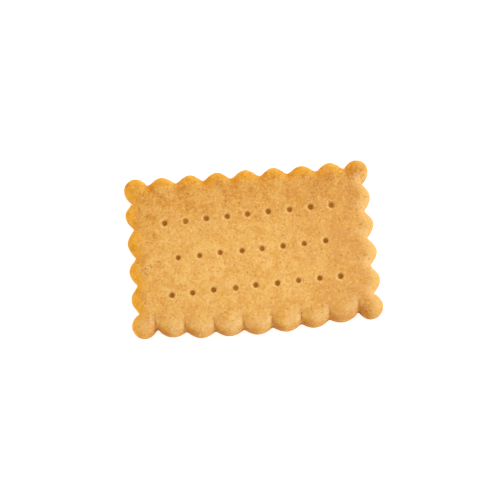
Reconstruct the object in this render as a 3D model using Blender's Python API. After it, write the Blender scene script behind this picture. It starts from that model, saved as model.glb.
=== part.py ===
"""A rectangular shortbread biscuit with a fluted edge, cut from rolled dough and baked in one piece.

It lies flat on its underside, with the long side along X. Units are metres, with +Z up, and the
origin is at the middle of the underside.
"""

import math
import random

import bmesh
import bpy

MM = 0.001

# The cutter: a round lobe at each corner, and scallops of one pitch along the sides between them
CORNER_SPAN_X = 68.0 * MM
CORNER_SPAN_Y = 42.1 * MM
CORNER_TO_VALLEY = 3.8 * MM
VALLEY_REACH = 1.15 * MM

# A corner lobe is round, and flares where it runs into the valley on each side of it
CORNER_RADIUS = 3.65 * MM
CORNER_FLARE_POWER = 4

# Each side, anticlockwise from the front: its scallops, how far it bows out in the middle, how deep
# the scallops are, how full they are, how rounded the valleys between them are, and how far the top
# slopes down to the edge before it turns over. The soft dough sagged along the front while it was
# moved, and its scallops pressed against each other.
SIDES = (
    (7, 2.35 * MM, 1.65 * MM, 0.85, 0.0, 0.8 * MM),
    (4, 0.1 * MM, 2.65 * MM, 1.0, 0.4 * MM, 0.45 * MM),
    (7, 0.1 * MM, 2.65 * MM, 1.0, 0.4 * MM, 0.45 * MM),
    (4, 0.1 * MM, 2.65 * MM, 1.0, 0.4 * MM, 0.45 * MM),
)
BOW_POWER = 0.55

# How far one scallop differs from the next
UNEVEN_VALLEY = 0.25 * MM
UNEVEN_DEPTH = 0.22 * MM
SEED = 320

# The section through the edge, from the underside up to the flat top
THICKNESS = 6.6 * MM
BASE_INSET = 0.9 * MM
BASE_HEIGHT = 1.1 * MM
WIDEST_HEIGHT = 1.9 * MM
SHOULDER_INSET = 0.18 * MM
TURN_DROP = 2.3 * MM
TURN_LENGTH = 0.85 * MM
SLOPE_LENGTH = 4.0 * MM

# The flat field inside the fluted band, and how sharply the lines from a corner lobe to it straighten
# towards the valleys beside the lobe
CROWN_REACH = 7.6 * MM
FIELD_CORNER_RADIUS = 2.0 * MM
LOBE_BEND_POWER = 4

# Dock marks: staggered rows, pressed by hand and so a little out of line with the edges
DOCK_ROWS = ((10.6 * MM, 9), (-0.4 * MM, 8), (-11.4 * MM, 9))
DOCK_SPACING = 6.3 * MM
DOCK_TURN = math.radians(1.6)
DOCK_TOP_RADIUS = 0.95 * MM
DOCK_FOOT_RADIUS = 0.55 * MM
DOCK_DEPTH = 1.2 * MM
DOCK_UNEVEN = 0.16 * MM
DOCK_SIDES = 12

# Facets
SCALLOP_STEPS = 12
CORNER_STEPS = 16
BASE_STEPS = 3
CROWN_STEPS = 8
CROWN_CROWDING = 1.7

# The baked crumb, as linear light
CRUMB_COLOUR = (0.799, 0.418, 0.107, 1.0)
CRUMB_ROUGHNESS = 0.75


def clear_scene():
    for item in list(bpy.data.objects):
        bpy.data.objects.remove(item, do_unlink=True)


def new_collection(name):
    made = bpy.data.collections.new(name)
    bpy.context.scene.collection.children.link(made)
    return made


def crumb_material():
    material = bpy.data.materials.new("baked_crumb")
    material.use_nodes = True
    shader = material.node_tree.nodes["Principled BSDF"]
    shader.inputs["Base Color"].default_value = CRUMB_COLOUR
    shader.inputs["Roughness"].default_value = CRUMB_ROUGHNESS
    shader.inputs["Metallic"].default_value = 0.0
    return material


def between(start, end, share):
    return tuple(a + (b - a) * share for a, b in zip(start, end))


def straight_line(outer, inner, slope):
    """A line inwards: its start on the outline, its bend, its end at the field, and the top's slope."""
    return outer, between(outer, inner, 0.5), inner, slope


def corner_lines(lobe, field_corner, diagonal, slopes):
    """The lines of a corner lobe, anticlockwise: they run in by the lobe's middle, as its dome does."""
    valley_radius = math.hypot(CORNER_TO_VALLEY, VALLEY_REACH)
    half_turn = math.radians(135) - math.atan2(VALLEY_REACH, CORNER_TO_VALLEY)
    lines = []
    for step in range(CORNER_STEPS):
        share = 2 * step / CORNER_STEPS - 1
        flare = (valley_radius - CORNER_RADIUS) * abs(share) ** CORNER_FLARE_POWER
        radius = CORNER_RADIUS + flare
        angle = diagonal + share * half_turn
        field_angle = diagonal + share * math.radians(45)
        outer = (lobe[0] + radius * math.cos(angle), lobe[1] + radius * math.sin(angle))
        inner = (
            field_corner[0] + FIELD_CORNER_RADIUS * math.cos(field_angle),
            field_corner[1] + FIELD_CORNER_RADIUS * math.sin(field_angle),
        )
        slope = slopes[0] + (slopes[1] - slopes[0]) * step / CORNER_STEPS
        _, middle, _, _ = straight_line(outer, inner, slope)
        bend = between(lobe, middle, abs(share) ** LOBE_BEND_POWER)
        lines.append((outer, bend, inner, slope))
    return lines


def side_lines(lobe, along, length, side, field_ends, draw):
    """The lines of one side, from its first valley up to its last, which belongs to the next corner."""
    scallops, bow, side_depth, fullness, rounding, slope = side
    outward = (along[1], -along[0])
    first, last = CORNER_TO_VALLEY, length - CORNER_TO_VALLEY
    valleys = [first + index * (last - first) / scallops for index in range(scallops + 1)]
    for index in range(1, scallops):
        valleys[index] += draw.uniform(-UNEVEN_VALLEY, UNEVEN_VALLEY)
    lines = []
    for start, end in zip(valleys, valleys[1:]):
        depth = side_depth + draw.uniform(-UNEVEN_DEPTH, UNEVEN_DEPTH)
        for step in range(SCALLOP_STEPS):
            share = step / SCALLOP_STEPS
            place = start + share * (end - start)
            side_share = (place - first) / (last - first)
            reach = VALLEY_REACH + bow * math.sin(math.pi * side_share) ** BOW_POWER
            swell = depth * math.sin(math.pi * share) ** fullness
            reach += math.hypot(swell, rounding) - rounding
            outer = (
                lobe[0] + along[0] * place + outward[0] * reach,
                lobe[1] + along[1] * place + outward[1] * reach,
            )
            lines.append(straight_line(outer, between(*field_ends, side_share), slope))
    return lines


def outline_lines():
    """The widest outline with its lines to the flat field, anticlockwise from the front left corner."""
    draw = random.Random(SEED)
    half = (CORNER_SPAN_X / 2, CORNER_SPAN_Y / 2)
    to_field = CORNER_RADIUS - CROWN_REACH - FIELD_CORNER_RADIUS
    corners = ((-1, -1), (1, -1), (1, 1), (-1, 1))
    lines = []
    for index, (corner, side) in enumerate(zip(corners, SIDES)):
        slopes = (SIDES[index - 1][-1], side[-1])
        following = corners[(index + 1) % len(corners)]
        along = ((following[0] - corner[0]) / 2, (following[1] - corner[1]) / 2)
        length = CORNER_SPAN_X if along[0] else CORNER_SPAN_Y
        lobe = (corner[0] * half[0], corner[1] * half[1])
        field_corners = [
            (signs[0] * (half[0] + to_field), signs[1] * (half[1] + to_field))
            for signs in (corner, following)
        ]
        field_ends = [
            (x + along[1] * FIELD_CORNER_RADIUS, y - along[0] * FIELD_CORNER_RADIUS)
            for x, y in field_corners
        ]
        lines += corner_lines(lobe, field_corners[0], math.atan2(corner[1], corner[0]), slopes)
        lines += side_lines(lobe, along, length, side, field_ends, draw)
    starts = [line[0] for line in lines]
    middle = [(min(p[axis] for p in starts) + max(p[axis] for p in starts)) / 2 for axis in (0, 1)]
    centred = []
    for *places, slope in lines:
        centred.append((*((x - middle[0], y - middle[1]) for x, y in places), slope))
    return centred


def along_line(line, share):
    """The place at a share of the way in along a line, rounded through its bend."""
    outer, bend, inner, _ = line
    return between(between(outer, bend, share), between(bend, inner, share), share)


def inset_share(line, inset):
    """The share of a line at which it is one short distance in from the outline."""
    outer, bend, _, _ = line
    return inset / (2 * math.dist(outer, bend))


def edge_distance(place, outline):
    """How far a place is from the nearest stretch of the outline."""
    nearest = []
    for start, end in zip(outline, outline[1:] + outline[:1]):
        run = (end[0] - start[0], end[1] - start[1])
        ahead = (place[0] - start[0]) * run[0] + (place[1] - start[1]) * run[1]
        share = min(max(ahead / (run[0] ** 2 + run[1] ** 2), 0), 1)
        nearest.append(math.dist(place, between(start, end, share)))
    return min(nearest)


def inset_ring(lines, inset, height):
    """The outline moved inwards by one distance, at one height."""
    return [(*along_line(line, inset_share(line, inset)), height) for line in lines]


def crown_ring(lines, share):
    """A ring of the domed band from the shoulder in to the flat field, lowest beside the outline."""
    outline = [line[0] for line in lines]
    ring = []
    for line in lines:
        shoulder = inset_share(line, SHOULDER_INSET)
        place = along_line(line, shoulder + share * (1 - shoulder))
        depth = edge_distance(place, outline)
        drop = TURN_DROP * math.exp(-depth / TURN_LENGTH) + line[-1] * math.exp(-depth / SLOPE_LENGTH)
        ring.append((*place, THICKNESS - drop * (1 - share**2) ** 2))
    return ring


def edge_rings(lines):
    """Every ring of the section, from the underside's edge up and in to the flat field's edge."""
    rings = []
    for step in range(BASE_STEPS + 1):
        angle = math.pi / 2 * step / BASE_STEPS
        inset = BASE_INSET * (1 - math.sin(angle))
        rings.append(inset_ring(lines, inset, BASE_HEIGHT * (1 - math.cos(angle))))
    rings.append(inset_ring(lines, 0.0, WIDEST_HEIGHT))
    for step in range(CROWN_STEPS + 1):
        rings.append(crown_ring(lines, (step / CROWN_STEPS) ** CROWN_CROWDING))
    return rings


def loft(name, rings):
    """A closed mesh through the rings, each joined to the next, with a flat face on both ends."""
    shape = bmesh.new()
    loops = [[shape.verts.new(point) for point in ring] for ring in rings]
    count = len(loops[0])
    for below, above in zip(loops, loops[1:]):
        for index in range(count):
            after = (index + 1) % count
            shape.faces.new((below[index], below[after], above[after], above[index]))
    shape.faces.new(reversed(loops[0]))
    shape.faces.new(loops[-1])
    bmesh.ops.recalc_face_normals(shape, faces=shape.faces)
    mesh = bpy.data.meshes.new(name)
    shape.to_mesh(mesh)
    shape.free()
    return mesh


def dock_pins(collection):
    """The tapered pins that press the dock marks, each a little off its place and depth."""
    draw = random.Random(SEED)
    shape = bmesh.new()
    for row, count in DOCK_ROWS:
        for index in range(count):
            x = (index - (count - 1) / 2) * DOCK_SPACING + draw.uniform(-DOCK_UNEVEN, DOCK_UNEVEN)
            y = row + draw.uniform(-DOCK_UNEVEN, DOCK_UNEVEN)
            depth = DOCK_DEPTH + draw.uniform(-DOCK_UNEVEN, DOCK_UNEVEN)
            # The pin stands as far above the top as it goes in, with the same taper
            flare = DOCK_TOP_RADIUS - DOCK_FOOT_RADIUS
            pin = bmesh.ops.create_cone(
                shape,
                cap_ends=True,
                segments=DOCK_SIDES,
                radius1=DOCK_FOOT_RADIUS,
                radius2=DOCK_TOP_RADIUS + flare,
                depth=2 * depth,
            )
            cosine, sine = math.cos(DOCK_TURN), math.sin(DOCK_TURN)
            place = (x * cosine - y * sine, x * sine + y * cosine, THICKNESS)
            bmesh.ops.translate(shape, vec=place, verts=pin["verts"])
    mesh = bpy.data.meshes.new("dock_pins")
    shape.to_mesh(mesh)
    shape.free()
    pins = bpy.data.objects.new("dock_pins", mesh)
    pins.hide_render = True
    pins.display_type = "WIRE"
    collection.objects.link(pins)
    return pins


def build():
    clear_scene()
    parts = new_collection("shortbread_biscuit")
    cutters = new_collection("cutters")

    mesh = loft("biscuit", edge_rings(outline_lines()))
    mesh.materials.append(crumb_material())
    mesh.shade_smooth()
    mesh.set_sharp_from_angle(angle=math.radians(40))
    biscuit = bpy.data.objects.new("biscuit", mesh)
    parts.objects.link(biscuit)

    docking = biscuit.modifiers.new("dock_marks", "BOOLEAN")
    docking.operation = "DIFFERENCE"
    docking.solver = "EXACT"
    docking.object = dock_pins(cutters)


build()
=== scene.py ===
"""A rectangular shortbread biscuit with a fluted edge, lying flat on a pale table under soft light."""

import math
import random

import bmesh
import bpy
import numpy as np
from mathutils import Matrix, Vector, kdtree, noise


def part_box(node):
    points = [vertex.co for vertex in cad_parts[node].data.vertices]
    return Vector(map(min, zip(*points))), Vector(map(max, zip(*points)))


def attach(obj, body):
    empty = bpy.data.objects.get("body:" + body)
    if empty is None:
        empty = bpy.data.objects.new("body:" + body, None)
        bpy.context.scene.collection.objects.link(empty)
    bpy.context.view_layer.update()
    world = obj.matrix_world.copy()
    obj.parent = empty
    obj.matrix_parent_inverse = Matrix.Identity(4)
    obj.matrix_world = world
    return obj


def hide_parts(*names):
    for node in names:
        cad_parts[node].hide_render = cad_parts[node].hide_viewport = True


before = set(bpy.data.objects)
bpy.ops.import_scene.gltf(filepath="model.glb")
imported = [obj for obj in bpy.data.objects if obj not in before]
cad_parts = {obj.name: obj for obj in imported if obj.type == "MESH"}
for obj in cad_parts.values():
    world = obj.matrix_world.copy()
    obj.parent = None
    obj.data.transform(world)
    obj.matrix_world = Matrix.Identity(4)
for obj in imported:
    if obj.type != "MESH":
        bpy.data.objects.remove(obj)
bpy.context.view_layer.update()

# The camera
# It looks down on the biscuit from close above its front side, the way it is seen in the hand or on a
# table. It is rolled a little, so that the biscuit's long side climbs to the right.
MM = 0.001
LENS_TO_BISCUIT = 303 * MM
ABOVE_TABLE = math.radians(77.1)
ROLL = math.radians(4.97)
SENSOR_MM = 36.0
PICTURE_WIDTH = 151.0 * MM
LOOKS_LEFT_BY = 0.57 * MM
LOOKS_UP_BY = 0.1 * MM
NEAREST_SEEN = 10 * MM

low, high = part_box("biscuit")
toward_lens = Vector((0, -math.cos(ABOVE_TABLE), math.sin(ABOVE_TABLE)))
level = Vector((1, 0, 0))
upward = toward_lens.cross(level)
picture_right = level * math.cos(ROLL) - upward * math.sin(ROLL)
picture_up = level * math.sin(ROLL) + upward * math.cos(ROLL)
aim = Vector((0, 0, high.z / 2)) - picture_right * LOOKS_LEFT_BY + picture_up * LOOKS_UP_BY

lens = bpy.data.cameras.new("camera")
lens.sensor_width = SENSOR_MM
lens.lens = SENSOR_MM * LENS_TO_BISCUIT / PICTURE_WIDTH
lens.clip_start = NEAREST_SEEN
camera = bpy.data.objects.new("camera", lens)
turn = Matrix((picture_right, picture_up, toward_lens)).transposed().to_4x4()
camera.matrix_world = Matrix.Translation(aim + toward_lens * LENS_TO_BISCUIT) @ turn
bpy.context.scene.collection.objects.link(camera)
bpy.context.scene.camera = camera

# The biscuit
# One slab of butter dough, rolled out, cut with a fluted cutter, docked and baked on a tray. The edge
# rose into a row of small pillows, with a crease between each two, golden along the left and back.
SAME_PLACE = 0.001 * MM
WIDEST_HEIGHT = 1.9 * MM
WIDEST_WITHIN = 0.01 * MM
DOCKS_INSIDE = 6 * MM
DOCK_FOOT_DEPTH = 1.0 * MM
DOCK_ACROSS = 2.5 * MM
SKIN_CELL = 0.26 * MM
SKIN_SMOOTHINGS = 5
SKIN_SMOOTHING = 0.5
UNDERSIDE_NORMAL = -0.95
UNDERSIDE_WITHIN = 0.2 * MM
UNDERSIDE_THINNING = 0.66
EDGE_STEPS = 4
# How far the skin faces up, from 0 to 1, where a layer for the top starts and where it is full, and how
# far it faces sideways where a layer for the walls does.
TOP_FACING = (0.1, 0.6)
WALL_FACING = (0.3, 0.8)

merged = bmesh.new()
merged.from_mesh(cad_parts["biscuit"].data)
bmesh.ops.remove_doubles(merged, verts=merged.verts, dist=SAME_PLACE)


def widest_outline(shape):
    """The outline at its widest, as points in order."""
    members = {vert for vert in shape.verts if abs(vert.co.z - WIDEST_HEIGHT) < WIDEST_WITHIN}
    start = min(members, key=lambda vert: vert.index)
    path = [start]
    while True:
        around = [edge.other_vert(path[-1]) for edge in path[-1].link_edges]
        unseen = [vert for vert in around if vert in members and vert not in path[-2:]]
        if len(path) > 2 and start in unseen:
            break
        path.append(unseen[0])
    return np.array([vert.co.xy for vert in path])


def dock_centres(shape):
    """Where the dock marks are: the middle of each mark's foot."""
    foot = (high.z / 2, high.z - DOCK_FOOT_DEPTH)
    inner = (high.x - DOCKS_INSIDE, high.y - DOCKS_INSIDE)
    centres = []
    for vert in shape.verts:
        x, y, z = vert.co
        if not foot[0] < z < foot[1] or abs(x) > inner[0] or abs(y) > inner[1]:
            continue
        near = [group for group in centres if math.dist(group[0], (x, y)) < DOCK_ACROSS]
        if near:
            near[0].append((x, y))
        else:
            centres.append([(x, y)])
    return np.array([np.mean(group, axis=0) for group in centres])


outline = widest_outline(merged)
docks = dock_centres(merged)
solid_copy = bpy.data.meshes.new("biscuit_solid_copy")
merged.to_mesh(solid_copy)
merged.free()
rough_skin = bpy.data.objects.new("biscuit_rough_skin", solid_copy)
bpy.context.scene.collection.objects.link(rough_skin)


def with_modifiers(holder):
    """The mesh that the object's modifiers make, as one of its own."""
    bpy.context.view_layer.update()
    made = bpy.data.meshes.new_from_object(
        holder.evaluated_get(bpy.context.evaluated_depsgraph_get())
    )
    holder.modifiers.clear()
    return made


remesh = rough_skin.modifiers.new("skin", "REMESH")
remesh.mode = "VOXEL"
remesh.voxel_size = SKIN_CELL
skin = with_modifiers(rough_skin)

smoothed = bmesh.new()
smoothed.from_mesh(skin)
for _ in range(SKIN_SMOOTHINGS):
    bmesh.ops.smooth_vert(
        smoothed,
        verts=smoothed.verts,
        factor=SKIN_SMOOTHING,
        use_axis_x=True,
        use_axis_y=True,
        use_axis_z=True,
    )
for vert in smoothed.verts:
    if vert.normal.z < UNDERSIDE_NORMAL and vert.co.z < UNDERSIDE_WITHIN:
        vert.co.z = 0.0
smoothed.to_mesh(skin)
smoothed.free()

rough_skin.data = skin
under = rough_skin.vertex_groups.new(name="flat_base")
under.add([vert.index for vert in skin.vertices if vert.co.z < SAME_PLACE], 1.0, "REPLACE")
thinning = rough_skin.modifiers.new("thin_underside", "DECIMATE")
thinning.vertex_group = "flat_base"
thinning.ratio = UNDERSIDE_THINNING
dough = with_modifiers(rough_skin)
bpy.data.objects.remove(rough_skin)

count = len(dough.vertices)
points = np.empty(count * 3)
dough.vertices.foreach_get("co", points)
points = points.reshape(-1, 3)
facing = np.empty(count * 3)
dough.vertex_normals.foreach_get("vector", facing)
facing = facing.reshape(-1, 3)


def edge_distance(places):
    """How far each place is from the outline, looked at from above."""
    spaced = []
    for start, end in zip(outline, np.roll(outline, -1, axis=0)):
        spaced += [start + (end - start) * step / EDGE_STEPS for step in range(EDGE_STEPS)]
    finder = kdtree.KDTree(len(spaced))
    for index, place in enumerate(spaced):
        finder.insert((*place, 0), index)
    finder.balance()
    return np.array([finder.find((x, y, 0))[2] for x, y in places])


def ramp(values, start, end):
    """0 at start, 1 at end, and an even slope with soft ends between them."""
    share = np.clip((values - start) / (end - start), 0, 1)
    return share * share * (3 - 2 * share)


from_edge = edge_distance(points[:, :2])
on_top = ramp(facing[:, 2], *TOP_FACING)
on_wall = ramp(1 - np.abs(facing[:, 2]), *WALL_FACING)

# The creases
# Where two pillows met, the dough folded into a fine groove that runs in from the valley between
# them, with a rounded flank on each side, and painted shade, with some browning, darkens each groove.
# It is longest along the front, which sagged: there a painted highlight lightens the flank left of
# each groove, which faces the lamp, and painted shade darkens the flank right of it, facing away.
SHARP_VALLEY = math.radians(30)
CREASE_DEPTH = 0.2 * MM
CREASE_WIDTH = 0.3 * MM
CREASE_NARROWS_TO = 0.45
CREASE_REACH = {"front": 6.0 * MM, "back": 2.2 * MM, "left": 1.8 * MM, "right": 1.8 * MM}
CREASE_SHARE = {"front": 1.0, "back": 0.4, "left": 0.25, "right": 0.25}
CREASE_FADE = 1.3
CREASE_WANDER = 0.35 * MM
CREASE_BEND = 4 * MM
WANDERS_FULLY_FROM = 3 * MM
FLANK_DEPTH = 0.36 * MM
FLANK_WIDTH = 1.1 * MM
CREASE_SHADE_AT_EDGE = 0.25
CREASE_SHADE_FULL_FROM = 1.2 * MM
HIGHLIGHT_OFFSET = 1.05 * MM
HIGHLIGHT_WIDTH = 0.8 * MM
HIGHLIGHT_START = (0.2 * MM, 1.4 * MM)
PATCH_UNEVENNESS = 0.45
PATCH_UNEVEN_SIZE = 7 * MM
# Each soft patch beside a valley: its side, its tint, how far it lies to the right (or, at an end, to
# the back) and in from the edge, its radius and its strength. The patches are painted light: painted
# shade on flanks that face away from the lamp, painted highlights on flanks that face it and at the
# right end.
VALLEY_PATCHES = (
    ("front", "pale_flank_highlight", -2.7 * MM, 1.0 * MM, 1.9 * MM, 0.5),
    ("front", "shaded_flank", 1.7 * MM, 2.9 * MM, 1.8 * MM, 0.45),
    ("back", "amber_shade", 1.0 * MM, 1.4 * MM, 1.6 * MM, 1.0),
    ("back", "honey", -1.35 * MM, 1.5 * MM, 1.2 * MM, 0.7),
    ("right", "pale", 0.9 * MM, 1.5 * MM, 1.5 * MM, 0.6),
    ("right", "pale_flank_highlight", 0.9 * MM, 1.4 * MM, 1.8 * MM, 0.45),
)


def valleys():
    """Each valley of the outline, with its direction inwards and the side that it is on."""
    previous = np.roll(outline, 1, axis=0)
    following = np.roll(outline, -1, axis=0)
    signed_area = np.sum(outline[:, 0] * following[:, 1] - outline[:, 1] * following[:, 0])
    found = []
    for before, here, after in zip(previous, outline, following):
        came, went = here - before, after - here
        bend = math.atan2(came[0] * went[1] - came[1] * went[0], float(came @ went))
        if bend * math.copysign(1, signed_area) > -SHARP_VALLEY:
            continue
        if abs(here[1]) / high.y > abs(here[0]) / high.x:
            side = "front" if here[1] < 0 else "back"
            inward = np.array((0, -math.copysign(1, here[1])))
        else:
            side = "left" if here[0] < 0 else "right"
            inward = np.array((-math.copysign(1, here[0]), 0))
        found.append((here, inward, side))
    return found


def grain_noise(size, start):
    """Smooth noise from about -1 to 1 at every point of the skin, with bumps of one size. Each start
    gives a pattern of its own."""
    shift = Vector((start, 2 * start, 3 * start))
    return np.array([noise.noise(Vector(point) / size + shift) for point in points])


def grade(share, least, most):
    """The least where the share is 0, and the most where it is 1."""
    return least + (most - least) * share


def hump(distance, width):
    """1 in the middle, falling softly to almost nothing at twice the width."""
    return np.exp(-((distance / width) ** 2))


sway = CREASE_WANDER * grain_noise(CREASE_BEND, start=3.1)
uneven = 1 + PATCH_UNEVENNESS * grain_noise(PATCH_UNEVEN_SIZE, start=9.3)
crease = np.zeros(count)
flank = np.zeros(count)
crease_shade = np.zeros(count)
pale_flank_highlight = np.zeros(count)
beside = {tint: np.zeros(count) for _, tint, *_ in VALLEY_PATCHES}
for valley, inward, side in valleys():
    reach = CREASE_REACH[side]
    offset = points[:, :2] - valley
    along = offset @ inward
    across = offset @ np.array((-inward[1], inward[0])) + sway * ramp(along, 0, WANDERS_FULLY_FROM)
    remaining = 1 - np.clip(along, 0, reach) / reach
    width = CREASE_WIDTH * grade(remaining, CREASE_NARROWS_TO, 1)
    strength = CREASE_SHARE[side] * remaining**CREASE_FADE
    groove = strength * hump(across, width)
    crease = np.maximum(crease, groove)
    flank = np.maximum(flank, strength * np.exp(-np.abs(across) / FLANK_WIDTH))
    # Painted shade, with some browning, darkens each groove.
    crease_shade = np.maximum(crease_shade, groove * grade(ramp(along, 0, CREASE_SHADE_FULL_FROM), CREASE_SHADE_AT_EDGE, 1))
    # Painted highlight: a pale strip on the flank left of each front groove, which faces the lamp.
    if side == "front":
        strip = hump(across - HIGHLIGHT_OFFSET, HIGHLIGHT_WIDTH)
        pale_flank_highlight = np.maximum(pale_flank_highlight, remaining * ramp(along, *HIGHLIGHT_START) * strip)
    for patch_side, tint, sideways, inwards, radius, share in VALLEY_PATCHES:
        if patch_side == side:
            centre = valley + inwards * inward + sideways * np.abs(inward[::-1])
            distance = np.hypot(*(points[:, :2] - centre).T)
            beside[tint] = np.maximum(beside[tint], share * uneven * hump(distance, radius))
for layer in (crease, flank, crease_shade):
    layer *= np.maximum(on_top, on_wall)

# The dock marks
# Pins pressed through the dough to let steam out. Each pushed up a small lip round itself, most of
# all on its left, which stayed pale, and the hole is browned inside, with painted shade that darkens
# it more deeply further down.
LIP_RADIUS = 1.3 * MM
LIP_WIDTH = 0.42 * MM
LIP_HEIGHT = 0.1 * MM
LIP_FULLNESS = 0.6
LIP_LEAN = 0.5
LIP_UNEVENNESS = 0.8
LIP_UNEVEN_SIZE = 1.3 * MM
MARK_RADIUS = 1.15 * MM
MARK_SHADE = (0.1 * MM, 0.9 * MM)

from_docks = np.array([np.hypot(points[:, 0] - x, points[:, 1] - y) for x, y in docks])
from_dock = np.min(from_docks, axis=0)
to_left = (docks[np.argmin(from_docks, axis=0), 0] - points[:, 0]) / np.maximum(from_dock, MARK_RADIUS)
lip_grain = grain_noise(LIP_UNEVEN_SIZE, start=5.7)
patchy = np.maximum(LIP_FULLNESS + LIP_LEAN * to_left + LIP_UNEVENNESS * lip_grain, 0)
lip = hump(from_dock - LIP_RADIUS, LIP_WIDTH) * patchy * on_top
# Painted shade, with browning, darkens each hole more deeply further down.
in_mark = ramp(high.z - points[:, 2], *MARK_SHADE) * (from_dock < MARK_RADIUS)

# The crumb's relief
# Coarse flour and butter leave a pebbled skin with small pits where steam and butter came out, and a
# few fine cracks, on a top that isn't quite level.
SUNK = 0.06 * MM
RELIEF_FOOT = (0.2 * MM, 1.5 * MM)
FLAT_BELOW = 0.1 * MM
# Each size of relief: how far it stands out, and how wide its bumps are.
SWELL = (0.10 * MM, 9 * MM)
BUMPS = (0.07 * MM, 2.4 * MM)
PEBBLES = (0.07 * MM, 0.95 * MM)
GRIT = (0.03 * MM, 0.55 * MM)
PATTERN_STEP = 11.3
PITS = 420
PITS_ABOVE = 0.6 * MM
PIT_RADIUS = (0.26 * MM, 0.6 * MM)
PIT_DEPTH = (0.05 * MM, 0.26 * MM)
CRACKS = 26
CRACKS_FROM_EDGE = 3 * MM
CRACKS_FROM_DOCK = 2 * MM
CRACKS_FACING = 0.9
CRACK_LENGTH = (0.9 * MM, 2.6 * MM)
CRACK_WIDTH = 0.2 * MM
CRACK_DEPTH = 0.14 * MM
CRACK_TURN = 0.35
CRACK_OPEN = (0.6, 1)
SEED = 23

draw = random.Random(SEED)
near_skin = kdtree.KDTree(count)
for index, point in enumerate(points):
    near_skin.insert(point, index)
near_skin.balance()
open_skin = np.nonzero(points[:, 2] > PITS_ABOVE)[0]
away = (from_edge > CRACKS_FROM_EDGE) & (from_dock > CRACKS_FROM_DOCK)
flat_top = np.nonzero(away & (facing[:, 2] > CRACKS_FACING))[0]
# Painted shade darkens the pits and cracks.
pit_shade = np.zeros(count)
pit_depth = np.zeros(count)
for _ in range(PITS):
    centre = points[open_skin[draw.randrange(len(open_skin))]]
    radius = draw.uniform(*PIT_RADIUS)
    depth = draw.uniform(*PIT_DEPTH) * radius / PIT_RADIUS[1]
    for _, index, distance in near_skin.find_range(centre, radius):
        hollow = (1 - (distance / radius) ** 2) ** 2
        pit_shade[index] = max(pit_shade[index], hollow * depth / PIT_DEPTH[1])
        pit_depth[index] = max(pit_depth[index], hollow * depth)

for _ in range(CRACKS):
    place = points[flat_top[draw.randrange(len(flat_top))]].copy()
    heading = draw.uniform(0, math.pi)
    length = draw.uniform(*CRACK_LENGTH)
    steps = round(length / CRACK_WIDTH)
    for step in range(steps):
        heading += draw.uniform(-CRACK_TURN, CRACK_TURN)
        place[:2] += CRACK_WIDTH * np.array((math.cos(heading), math.sin(heading)))
        open_share = math.sin(math.pi * (step + 0.5) / steps) * draw.uniform(*CRACK_OPEN)
        for _, index, distance in near_skin.find_range(place, 2 * CRACK_WIDTH):
            split = open_share * hump(distance, CRACK_WIDTH)
            pit_shade[index] = max(pit_shade[index], split)
            pit_depth[index] = max(pit_depth[index], split * CRACK_DEPTH)

relief = np.zeros(count)
for number, (height, size) in enumerate((SWELL, BUMPS, PEBBLES, GRIT), start=1):
    relief += height * grain_noise(size, start=PATTERN_STEP * number)
relief -= SUNK
relief *= ramp(points[:, 2], *RELIEF_FOOT)
relief += LIP_HEIGHT * lip - CREASE_DEPTH * crease - FLANK_DEPTH * flank - pit_depth
relief[points[:, 2] < FLAT_BELOW] = 0
points += facing * relief[:, None]
points[:, 2] = np.maximum(points[:, 2], 0)
dough.vertices.foreach_set("co", points.ravel())
dough.update()
dough.shade_smooth()

# The browned rims
# At the left and the back the lobes are a deep golden orange from their tips in, amber in patches.
# Painted shade deepens the amber where they face left, away from the lamp, and on the left rim's
# steep sides, and a painted highlight turns them honey where they face right, towards it. The right
# rim is a painted highlight, paler where it faces the lamp, and the front left lobe is less golden.
# The front rim, the walls and the underside browned on the tray, with painted shade on the front rim
# where it faces left and on the walls towards the foot.
RIM_FULL = 1.9 * MM
RIM_END = 5.3 * MM
TIP_SHARE = 0.75
RIM_WANDER = 1.1 * MM
RIM_FOOT = (1.8 * MM, 3.8 * MM)
RIM_AT_FOOT = 0.3
PALE_LOBE_FRONT = (15 * MM, 20 * MM)
PALE_LOBE_TIP = (0.2 * MM, 3.8 * MM)
PALE_LOBE_LOSS = 0.75
BACK_RIM_FADES = (0.85, 0.98)
BACK_RIM_LOSS = 0.8
FRONT_PART = (0.55, 0.92)
FRONT_RIM_END = 2.6 * MM
FRONT_RIM_WANDER = 0.4
FRONT_SHADE_TURN = (-0.2, 0.5)
FRONT_SHADE_SHARES = (0.3, 1)
STEEP_FACING = (0.6, 0.15)
LEFT_AMBER_SHADE_SHARES = (0.3, 0.9)
LOBE_TURN = (0, 0.5)
AMBER_SHADE_SHARES = (0.35, 0.9)
HONEY_HIGHLIGHT_SHARES = (0.3, 0.7)
WALL_TOP = 1.3 * WIDEST_HEIGHT
UNDER_FACING = (0.3, 0.8)
EMBER_RANGE = (-0.3, 0.5)
# Two patterns: the size and start of a coarse noise and of a fine one, and the fine one's share.
WANDER_NOISE = ((3.2 * MM, 8.8), (1.2 * MM, 6.4), 0.6)
EMBER_NOISE = ((1.6 * MM, 12.4), (1.6 * MM / 2.4, 7.3), 0.6)


def rough_noise(coarse, fine, fine_share):
    """A coarse noise with a share of a fine one, each given by its size and start."""
    return grain_noise(*coarse) + fine_share * grain_noise(*fine)


def rim_of(from_tips, wander):
    """How much each place is part of the rim along one side, whose lobes brown from their tips in."""
    depth = TIP_SHARE * from_tips + (1 - TIP_SHARE) * from_edge
    return ramp(RIM_END - depth - wander, 0, RIM_END - RIM_FULL)


x, y, z = points.T
wander = RIM_WANDER * rough_noise(*WANDER_NOISE)
pale_lobe = ramp(-y, *PALE_LOBE_FRONT) * ramp(x - low.x + wander, *PALE_LOBE_TIP)
left_rim = rim_of(x - low.x, wander) * (1 - PALE_LOBE_LOSS * pale_lobe)
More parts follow.
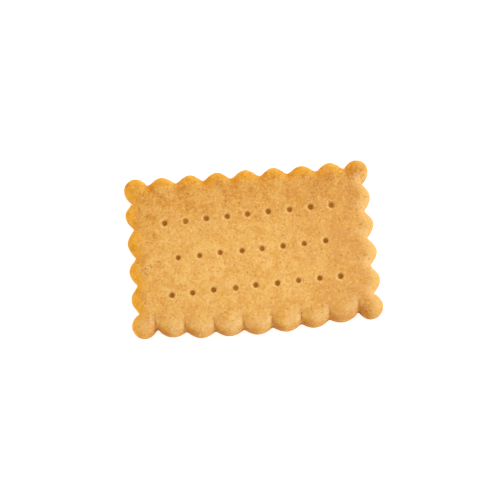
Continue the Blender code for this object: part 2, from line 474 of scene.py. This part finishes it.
# Painted highlight: the right rim is painted paler where it faces the lamp.
right_rim_highlight = rim_of(high.x - x, wander)
back_rim = rim_of(high.y - y, wander) * (1 - BACK_RIM_LOSS * ramp(x / high.x, *BACK_RIM_FADES))
in_front = ramp(-y / high.y, *FRONT_PART)
front_rim_and_shade = ramp(FRONT_RIM_END - from_edge - FRONT_RIM_WANDER * wander, 0, FRONT_RIM_END) * in_front
# Painted shade: the browned front rim is darker where it faces left, away from the lamp.
front_rim_and_shade *= grade(ramp(-facing[:, 0], *FRONT_SHADE_TURN), *FRONT_SHADE_SHARES)
above_foot = grade(ramp(z, *RIM_FOOT), RIM_AT_FOOT, 1)
golden_rim = np.maximum(left_rim, back_rim) * above_foot
embers = ramp(rough_noise(*EMBER_NOISE), *EMBER_RANGE)
steep = ramp(facing[:, 2], *STEEP_FACING)
# Painted shade: amber patches, deepened where the lobes face left, away from the lamp, and on the left
# rim's steep sides.
amber_shade_rim = np.maximum(grade(steep, *LEFT_AMBER_SHADE_SHARES) * left_rim, back_rim) * above_foot * embers
amber_shade_rim *= grade(ramp(-facing[:, 0], *LOBE_TURN), *AMBER_SHADE_SHARES)
# Painted highlight: honey where the lobes face right, towards the lamp, between the amber patches.
honey_highlight_rim = golden_rim * (1 - embers) * grade(ramp(facing[:, 0], *LOBE_TURN), *HONEY_HIGHLIGHT_SHARES)

# The toasted top
# The top is palest in the middle. It toasted in patches towards the back, near the edge and at the left
# end, with a browner shoulder just inside the back lobes, and the right end turned a rosy tan.
TOAST_PATCH = 3.4 * MM
TOAST_NOISE = ((TOAST_PATCH, 15.2), (TOAST_PATCH / 2.6, 4.9), 0.5)
TOAST_RANGE = (-0.25, 0.55)
TOWARD_BACK = (-4 * MM, 22 * MM)
BACK_TOAST_SHARES = (0.45, 1)
NEAR_EDGE = 5 * MM
EDGE_TOAST_SHARES = (0.25, 1)
LEFT_END = (24 * MM, 35 * MM)
LEFT_TOAST_SHARES = (0.15, 0.45)
RIGHT_END = (6 * MM, 32 * MM)
RIGHT_END_WANDER = 2
ROSY_SHARES = (0.45, 0.85)
SHOULDER_START = (1.2 * MM, 2.2 * MM)
SHOULDER_END = (5.2 * MM, 3.2 * MM)
SHOULDER_WANDER = 0.5
SHOULDER_SHARE = 0.17
SPOT_UNEVENNESS = 0.5
SPOT_UNEVEN_SIZE = 0.9 * MM
# The largest spots: the middle of each, its radius and its strength. All are toasted but the last,
# which is painted shade on the left of the front right lobe's neck.
TOASTED_AND_SHADED_SPOTS = (
    (Vector((33.4, 21.0)) * MM, 2.3 * MM, 0.75),
    (Vector((-28.6, 20.9)) * MM, 1.0 * MM, 0.8),
    (Vector((-19.4, 20.5)) * MM, 1.2 * MM, 0.5),
    (Vector((-8.3, 21.2)) * MM, 1.1 * MM, 0.7),
    (Vector((1.5, 17.9)) * MM, 0.8 * MM, 0.7),
    (Vector((24.6, 20.4)) * MM, 1.5 * MM, 0.4),
    (Vector((-30.5, 12.3)) * MM, 0.7 * MM, 0.6),
    (Vector((-35.4, 3.3)) * MM, 0.9 * MM, 0.5),
    (Vector((33.5, -5.0)) * MM, 0.6 * MM, 0.8),
    # Painted shade on the left flank of the front right lobe's neck.
    (Vector((32.4, -21.0)) * MM, 1.8 * MM, 0.35),
)

patches = ramp(rough_noise(*TOAST_NOISE), *TOAST_RANGE)
near_edge = np.exp(-from_edge / NEAR_EDGE) * (1 - in_front)
toast = ramp(y, *TOWARD_BACK) * grade(patches, *BACK_TOAST_SHARES)
toast += near_edge * grade(patches, *EDGE_TOAST_SHARES)
toast += ramp(-x, *LEFT_END) * grade(patches, *LEFT_TOAST_SHARES)
right_end = ramp(x + RIGHT_END_WANDER * wander, *RIGHT_END) * grade(patches, *ROSY_SHARES)
from_back = high.y - y + SHOULDER_WANDER * wander
spots = SHOULDER_SHARE * ramp(from_back, *SHOULDER_START) * ramp(from_back, *SHOULDER_END)
spot_edge = 1 + SPOT_UNEVENNESS * grain_noise(SPOT_UNEVEN_SIZE, start=2.6)
for centre, radius, share in TOASTED_AND_SHADED_SPOTS:
    distance = np.hypot(x - centre.x, y - centre.y) * spot_edge
    spots = np.maximum(spots, share * hump(distance, radius))

browning = {
    "golden_rim": golden_rim,
    # Painted shade right of each back valley joins the amber rim, and a painted highlight left of it the
    # honey rim.
    "amber_shade_rim": np.maximum(amber_shade_rim, beside["amber_shade"] * above_foot),
    "honey_highlight_rim": np.maximum(honey_highlight_rim, beside["honey"]),
    "pale_highlight_rim": np.maximum(right_rim_highlight, beside["pale"]),
    "front_rim_and_shade": front_rim_and_shade,
    # Painted shade on the flank right of each front groove.
    "shaded_flank": beside["shaded_flank"] * on_top,
    "pale_flank_highlight": np.maximum(pale_flank_highlight, beside["pale_flank_highlight"]) * on_top,
    "crease_shade": crease_shade,
    # Browned on the tray, with painted shade darker towards the foot.
    "wall_and_shade": ramp(WALL_TOP - z, 0, WALL_TOP) * on_wall,
    "underside": ramp(-facing[:, 2], *UNDER_FACING),
    "mark": in_mark,
    "lip": lip,
    "pit_shade": pit_shade,
    "spot": spots * on_top,
    "toast": toast,
    "right_end": right_end,
}
for name, values in browning.items():
    layer = dough.attributes.new(name, "FLOAT", "POINT")
    layer.data.foreach_set("value", np.clip(values, 0, 1).astype(np.float32))

# The baked crumb
# Sugar and butter that browned on a dry, open surface, so it is matt with a faint sheen of fat, golden
# where pale and orange-brown where it baked longest. Some of its coats are painted shade and painted
# highlights.
GOLDEN = "#FACB78"
TAN = "#E3A449"
DARK_SPECK = "#B87628"
PALE_SPECK = "#FFCF7A"
GOLDEN_RIM = "#FAAE25"
# Painted shade: amber on lobe sides that face away from the lamp, over amber patches.
AMBER_SHADE_RIM = "#E58C12"
# Painted highlight: honey on lobe sides that face the lamp.
HONEY_HIGHLIGHT_RIM = "#F8C05C"
# Painted highlight: the right rim, paler where it faces the lamp.
PALE_HIGHLIGHT_RIM = "#ECBD6E"
# The front rim's browning, with painted shade where it faces away from the lamp.
FRONT_RIM_AND_SHADE = "#B86E16"
# Painted shade on the flanks right of the front grooves.
SHADED_FLANK_BROWN = "#CE8932"
TOASTED = "#E0993A"
# Tray browning with painted shade on the walls towards the foot.
WALL_BROWN_AND_SHADE = "#966A34"
UNDER_BROWN = "#C4873E"
# Painted shade, with some browning, in the grooves, pits and cracks.
CREASE_SHADE_BROWN = "#B06A1C"
# Browning with painted shade inside the dock holes.
MARK_SHADE_BROWN = "#C0812F"
SPOT_BROWN = "#BE7518"
LIP_PALE = "#F4C678"
ROSY_TAN = "#DEA057"
# Painted highlight on the flanks left of the front grooves.
PALE_FLANK_HIGHLIGHT = "#F8D092"
HONEY = "#F0B04C"
ROSE = "#F0A86C"
CRUMB_IOR = 1.45
CRUMB_ROUGHNESS = 0.7
CRUMB_SPECULAR = 0.12
GRIT_STRENGTH = 0.9
GRIT_HEIGHT = 0.1 * MM
# Each noise: the size of its spots, and how many finer layers it has and how strong they are. Flour's
# own grain, under 0.2 mm, is too fine to show, so grain and grit are drawn coarser.
NOISES = {
    "grain": (0.42 * MM, 3.0, 0.6),
    "speck": (0.75 * MM, 2.0, 0.55),
    "hue": (1.7 * MM, 3.0, 0.6),
    "mottle": (3.8 * MM, 5.0, 0.85),
    "grit": (0.3 * MM, 2.0, 0.5),
}
# Each share that is drawn from a noise: which one, the values at which it starts and is full, and the
# most that it reaches.
DRAWN_SHARES = {
    "tan": ("mottle", 0.385, 0.615, 0.9),
    "honey": ("hue", 0.5, 0.65, 0.3),
    "rose": ("hue", 0.5, 0.35, 0.3),
    "grain": ("grain", 0.35, 0.65, 1.0),
    "pale_speck": ("speck", 0.41, 0.28, 0.5),
}
# Rims show less of the crumb, and toasted places more.
RIM_CRUMB = 0.5
TOP_CRUMB = (0.62, 1.25)
DARK_SPECKS_FROM = 0.60
DARK_SPECKS_FULL = 0.75
SPOT_WITHOUT_GRAIN = 0.5
# A Mix node's colour sockets, by their numbers.
MIX_SHARE = 0
MIX_UNDER = 6
MIX_OVER = 7
MIX_RESULT = 2


def linear(code):
    """An sRGB hex colour as linear light."""
    channels = [int(code[start : start + 2], 16) / 255 for start in (1, 3, 5)]
    return (*((c / 12.92 if c <= 0.04045 else ((c + 0.055) / 1.055) ** 2.4) for c in channels), 1.0)


def add(tree, kind, settings=None, links=None):
    """Adds a node, with its settings and input values by name, and its links from other sockets."""
    made = tree.nodes.new("ShaderNode" + kind)
    for name, value in (settings or {}).items():
        if isinstance(name, str) and hasattr(made, name):
            setattr(made, name, value)
        else:
            made.inputs[name].default_value = value
    for name, source in (links or {}).items():
        tree.links.new(source, made.inputs[name])
    return made


baked = bpy.data.materials.new("baked_butter_crumb")
baked.use_nodes = True
tree = baked.node_tree
shader = tree.nodes["Principled BSDF"]
place = add(tree, "TexCoord").outputs["Object"]
layers = {
    name: add(tree, "Attribute", {"attribute_name": name}).outputs["Fac"] for name in browning
}
noises = {
    name: add(
        tree,
        "TexNoise",
        {"Scale": 1 / size, "Detail": detail, "Roughness": roughness},
        {"Vector": place},
    ).outputs[0]
    for name, (size, detail, roughness) in NOISES.items()
}
drawn = {
    name: add(
        tree,
        "MapRange",
        {"From Min": start, "From Max": full, "To Max": most},
        {"Value": noises[source]},
    ).outputs[0]
    for name, (source, start, full, most) in DRAWN_SHARES.items()
}
rim = add(
    tree, "Math", {"operation": "MAXIMUM"}, {0: layers["golden_rim"], 1: layers["pale_highlight_rim"]}
).outputs[0]
rim_crumb = add(tree, "MapRange", {"To Min": 1.0, "To Max": RIM_CRUMB}, {"Value": rim}).outputs[0]
top_crumb = add(
    tree,
    "MapRange",
    {"To Min": TOP_CRUMB[0], "To Max": TOP_CRUMB[1]},
    {"Value": layers["toast"]},
).outputs[0]
open_crumb = add(
    tree, "Math", {"operation": "MULTIPLY"}, {0: rim_crumb, 1: top_crumb}
).outputs[0]
grain_share = add(
    tree, "Math", {"operation": "MULTIPLY"}, {0: drawn["grain"], 1: open_crumb}
).outputs[0]
dark_speck = add(
    tree,
    "MapRange",
    {"From Min": DARK_SPECKS_FROM, "From Max": DARK_SPECKS_FULL},
    {"Value": noises["speck"], "To Max": open_crumb},
).outputs[0]
grained_spot = add(
    tree, "Math", {"operation": "MULTIPLY"}, {0: drawn["grain"], 1: layers["spot"]}
).outputs[0]
spot_share = add(
    tree,
    "Math",
    {"operation": "MULTIPLY_ADD", 1: SPOT_WITHOUT_GRAIN},
    {0: layers["spot"], 2: grained_spot},
).outputs[0]

# Each coat, from the lowest up: its colour, where it shows and how strongly.
coats = (
    (TOASTED, layers["toast"], 0.66),
    (ROSY_TAN, layers["right_end"], 1),
    (PALE_HIGHLIGHT_RIM, layers["pale_highlight_rim"], 1),
    (FRONT_RIM_AND_SHADE, layers["front_rim_and_shade"], 1),
    (SHADED_FLANK_BROWN, layers["shaded_flank"], 1),
    (HONEY, drawn["honey"], 1),
    (ROSE, drawn["rose"], 1),
    (GOLDEN_RIM, layers["golden_rim"], 1),
    (AMBER_SHADE_RIM, layers["amber_shade_rim"], 1),
    (HONEY_HIGHLIGHT_RIM, layers["honey_highlight_rim"], 1),
    (SPOT_BROWN, spot_share, 1),
    (LIP_PALE, layers["lip"], 1),
    (PALE_FLANK_HIGHLIGHT, layers["pale_flank_highlight"], 0.9),
    (WALL_BROWN_AND_SHADE, layers["wall_and_shade"], 1),
    (UNDER_BROWN, layers["underside"], 1),
    (DARK_SPECK, grain_share, 0.55),
    (PALE_SPECK, drawn["pale_speck"], 1),
    (DARK_SPECK, dark_speck, 1),
    (CREASE_SHADE_BROWN, layers["crease_shade"], 1),
    (CREASE_SHADE_BROWN, layers["pit_shade"], 0.7),
    (MARK_SHADE_BROWN, layers["mark"], 1),
)
colour = add(
    tree,
    "Mix",
    {"data_type": "RGBA", MIX_UNDER: linear(GOLDEN), MIX_OVER: linear(TAN)},
    {MIX_SHARE: drawn["tan"]},
).outputs[MIX_RESULT]
for code, share, strength in coats:
    if strength < 1:
        share = add(tree, "Math", {"operation": "MULTIPLY", 1: strength}, {0: share}).outputs[0]
    colour = add(
        tree,
        "Mix",
        {"data_type": "RGBA", MIX_OVER: linear(code)},
        {MIX_SHARE: share, MIX_UNDER: colour},
    ).outputs[MIX_RESULT]
tree.links.new(colour, shader.inputs["Base Color"])

bump = add(
    tree, "Bump", {"Strength": GRIT_STRENGTH, "Distance": GRIT_HEIGHT}, {"Height": noises["grit"]}
).outputs[0]
tree.links.new(bump, shader.inputs["Normal"])
shader.inputs["Roughness"].default_value = CRUMB_ROUGHNESS
shader.inputs["IOR"].default_value = CRUMB_IOR
shader.inputs["Specular IOR Level"].default_value = CRUMB_SPECULAR

dough.materials.clear()
dough.materials.append(baked)
biscuit = bpy.data.objects.new("shortbread_biscuit", dough)
bpy.context.scene.collection.objects.link(biscuit)
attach(biscuit, "root")
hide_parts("biscuit")

# The table and the light
# A light table of frosted opal acrylic, lit from below so that it shows almost no shadow, in a white
# room. One large soft lamp beyond the right-hand end lights the right sides of the pillows most.
TABLE_WIDTH = 3.0
TABLE_BELOW = 0.02 * MM
OPAL = "#DAD9D8"
FROSTED_ROUGHNESS = 0.9
FROSTED_SPECULAR = 0.1
TABLE_WHITE = "#FCFBFA"
TABLE_GLOW = 0.64
ROOM_STRENGTH = 0.88
LAMP_DIRECTION = Vector((0.80, 0.22, 0.60)).normalized()
LAMP_DISTANCE = 0.7
LAMP_WIDTH = 0.6
LAMP_POWER = 1.9

surface = bmesh.new()
bmesh.ops.create_grid(surface, x_segments=1, y_segments=1, size=TABLE_WIDTH / 2)
bmesh.ops.translate(surface, verts=surface.verts, vec=(0, 0, -TABLE_BELOW))
table_mesh = bpy.data.meshes.new("table")
surface.to_mesh(table_mesh)
surface.free()
table_opal = bpy.data.materials.new("opal_acrylic_table")
table_opal.use_nodes = True
table_shader = table_opal.node_tree.nodes["Principled BSDF"]
table_shader.inputs["Base Color"].default_value = linear(OPAL)
table_shader.inputs["Roughness"].default_value = FROSTED_ROUGHNESS
table_shader.inputs["Specular IOR Level"].default_value = FROSTED_SPECULAR
table_shader.inputs["Emission Color"].default_value = linear(TABLE_WHITE)
table_shader.inputs["Emission Strength"].default_value = TABLE_GLOW
table_mesh.materials.append(table_opal)
table = bpy.data.objects.new("table", table_mesh)
bpy.context.scene.collection.objects.link(table)

room = bpy.data.worlds.new("white_room")
room.use_nodes = True
room.node_tree.nodes["Background"].inputs["Color"].default_value = (1, 1, 1, 1)
room.node_tree.nodes["Background"].inputs["Strength"].default_value = ROOM_STRENGTH
bpy.context.scene.world = room

lamp_light = bpy.data.lights.new("lamp", "AREA")
lamp_light.shape = "DISK"
lamp_light.size = LAMP_WIDTH
lamp_light.energy = LAMP_POWER
lamp = bpy.data.objects.new("lamp", lamp_light)
lamp.location = LAMP_DIRECTION * LAMP_DISTANCE
lamp.rotation_mode = "QUATERNION"
lamp.rotation_quaternion = LAMP_DIRECTION.to_track_quat("Z", "Y")
bpy.context.scene.collection.objects.link(lamp)

# The picture's colours are the scene's own, with no film curve over them.
bpy.context.scene.view_settings.view_transform = "Standard"
